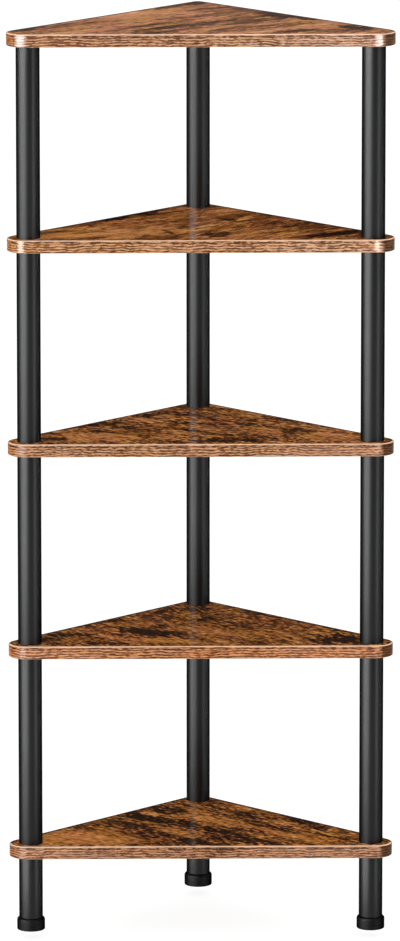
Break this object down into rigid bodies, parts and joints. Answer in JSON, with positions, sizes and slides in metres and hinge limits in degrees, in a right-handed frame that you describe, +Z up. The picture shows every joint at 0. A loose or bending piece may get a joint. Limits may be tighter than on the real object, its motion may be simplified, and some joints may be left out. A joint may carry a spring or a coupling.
{
  "type": "corner shelf unit",
  "caption": "Free-standing corner shelf unit: triangular laminated shelves with rounded corners on three black tubular posts, with levelling foot glides.",
  "frame": {"origin": "floor level, at the centre of the unit's plan box", "axes": "+Z up; +Y towards the corner of the room, with the long front edge facing -Y; +X to the right seen from the front"},
  "size_m": [0.4518, 0.253, 1.0728],
  "materials": {
    "laminate_board": "satin printed wood",
    "edge_laminate": "satin printed wood",
    "black_tube": "satin black powder coat",
    "foot_plastic": "matte black",
    "zinc_steel": "zinc plated"
  },
  "bodies": {
    "shelf_frame": {"bottom_shelf": "laminate_board", "lower_shelf": "laminate_board", "middle_shelf": "laminate_board", "upper_shelf": "laminate_board", "top_shelf": "laminate_board", "bottom_shelf_edge_band": "edge_laminate", "lower_shelf_edge_band": "edge_laminate", "middle_shelf_edge_band": "edge_laminate", "upper_shelf_edge_band": "edge_laminate", "top_shelf_edge_band": "edge_laminate", "left_leg_tube": "black_tube", "left_post_tube_1": "black_tube", "left_post_tube_2": "black_tube", "left_post_tube_3": "black_tube", "left_post_tube_4": "black_tube", "left_bottom_shelf_stud": "zinc_steel", "left_lower_shelf_stud": "zinc_steel", "left_middle_shelf_stud": "zinc_steel", "left_upper_shelf_stud": "zinc_steel", "left_top_shelf_stud": "zinc_steel", "left_insert_nut": "zinc_steel", "right_leg_tube": "black_tube", "right_post_tube_1": "black_tube", "right_post_tube_2": "black_tube", "right_post_tube_3": "black_tube", "right_post_tube_4": "black_tube", "right_bottom_shelf_stud": "zinc_steel", "right_lower_shelf_stud": "zinc_steel", "right_middle_shelf_stud": "zinc_steel", "right_upper_shelf_stud": "zinc_steel", "right_top_shelf_stud": "zinc_steel", "right_insert_nut": "zinc_steel", "rear_leg_tube": "black_tube", "rear_post_tube_1": "black_tube", "rear_post_tube_2": "black_tube", "rear_post_tube_3": "black_tube", "rear_post_tube_4": "black_tube", "rear_bottom_shelf_stud": "zinc_steel", "rear_lower_shelf_stud": "zinc_steel", "rear_middle_shelf_stud": "zinc_steel", "rear_upper_shelf_stud": "zinc_steel", "rear_top_shelf_stud": "zinc_steel", "rear_insert_nut": "zinc_steel"},
    "left_screw": {"left_foot_screw": "zinc_steel"},
    "left_foot": {"left_foot_glide": "foot_plastic"},
    "right_screw": {"right_foot_screw": "zinc_steel"},
    "right_foot": {"right_foot_glide": "foot_plastic"},
    "rear_screw": {"rear_foot_screw": "zinc_steel"},
    "rear_foot": {"rear_foot_glide": "foot_plastic"}
  },
  "joints": [
    {"name": "left_foot_travel", "type": "slide", "parent": "shelf_frame", "child": "left_screw", "axis": [0, 0, -1], "range_m": [0, 0.01]},
    {"name": "left_foot_turn", "type": "hinge", "parent": "left_screw", "child": "left_foot", "pos_m": [-0.2008, -0.10351, 0], "axis": [0, 0, -1], "range_deg": [0, 2880]},
    {"name": "right_foot_travel", "type": "slide", "parent": "shelf_frame", "child": "right_screw", "axis": [0, 0, -1], "range_m": [0, 0.01]},
    {"name": "right_foot_turn", "type": "hinge", "parent": "right_screw", "child": "right_foot", "pos_m": [0.2008, -0.10351, 0], "axis": [0, 0, -1], "range_deg": [0, 2880]},
    {"name": "rear_foot_travel", "type": "slide", "parent": "shelf_frame", "child": "rear_screw", "axis": [0, 0, -1], "range_m": [0, 0.01]},
    {"name": "rear_foot_turn", "type": "hinge", "parent": "rear_screw", "child": "rear_foot", "pos_m": [0, 0.10295, 0], "axis": [0, 0, -1], "range_deg": [0, 2880]}
  ],
  "couplings": [
    {"joint": "left_foot_turn", "follows": "left_foot_travel", "rad_per_m": 5026.5},
    {"joint": "right_foot_turn", "follows": "right_foot_travel", "rad_per_m": 5026.5},
    {"joint": "rear_foot_turn", "follows": "rear_foot_travel", "rad_per_m": 5026.5}
  ]
}
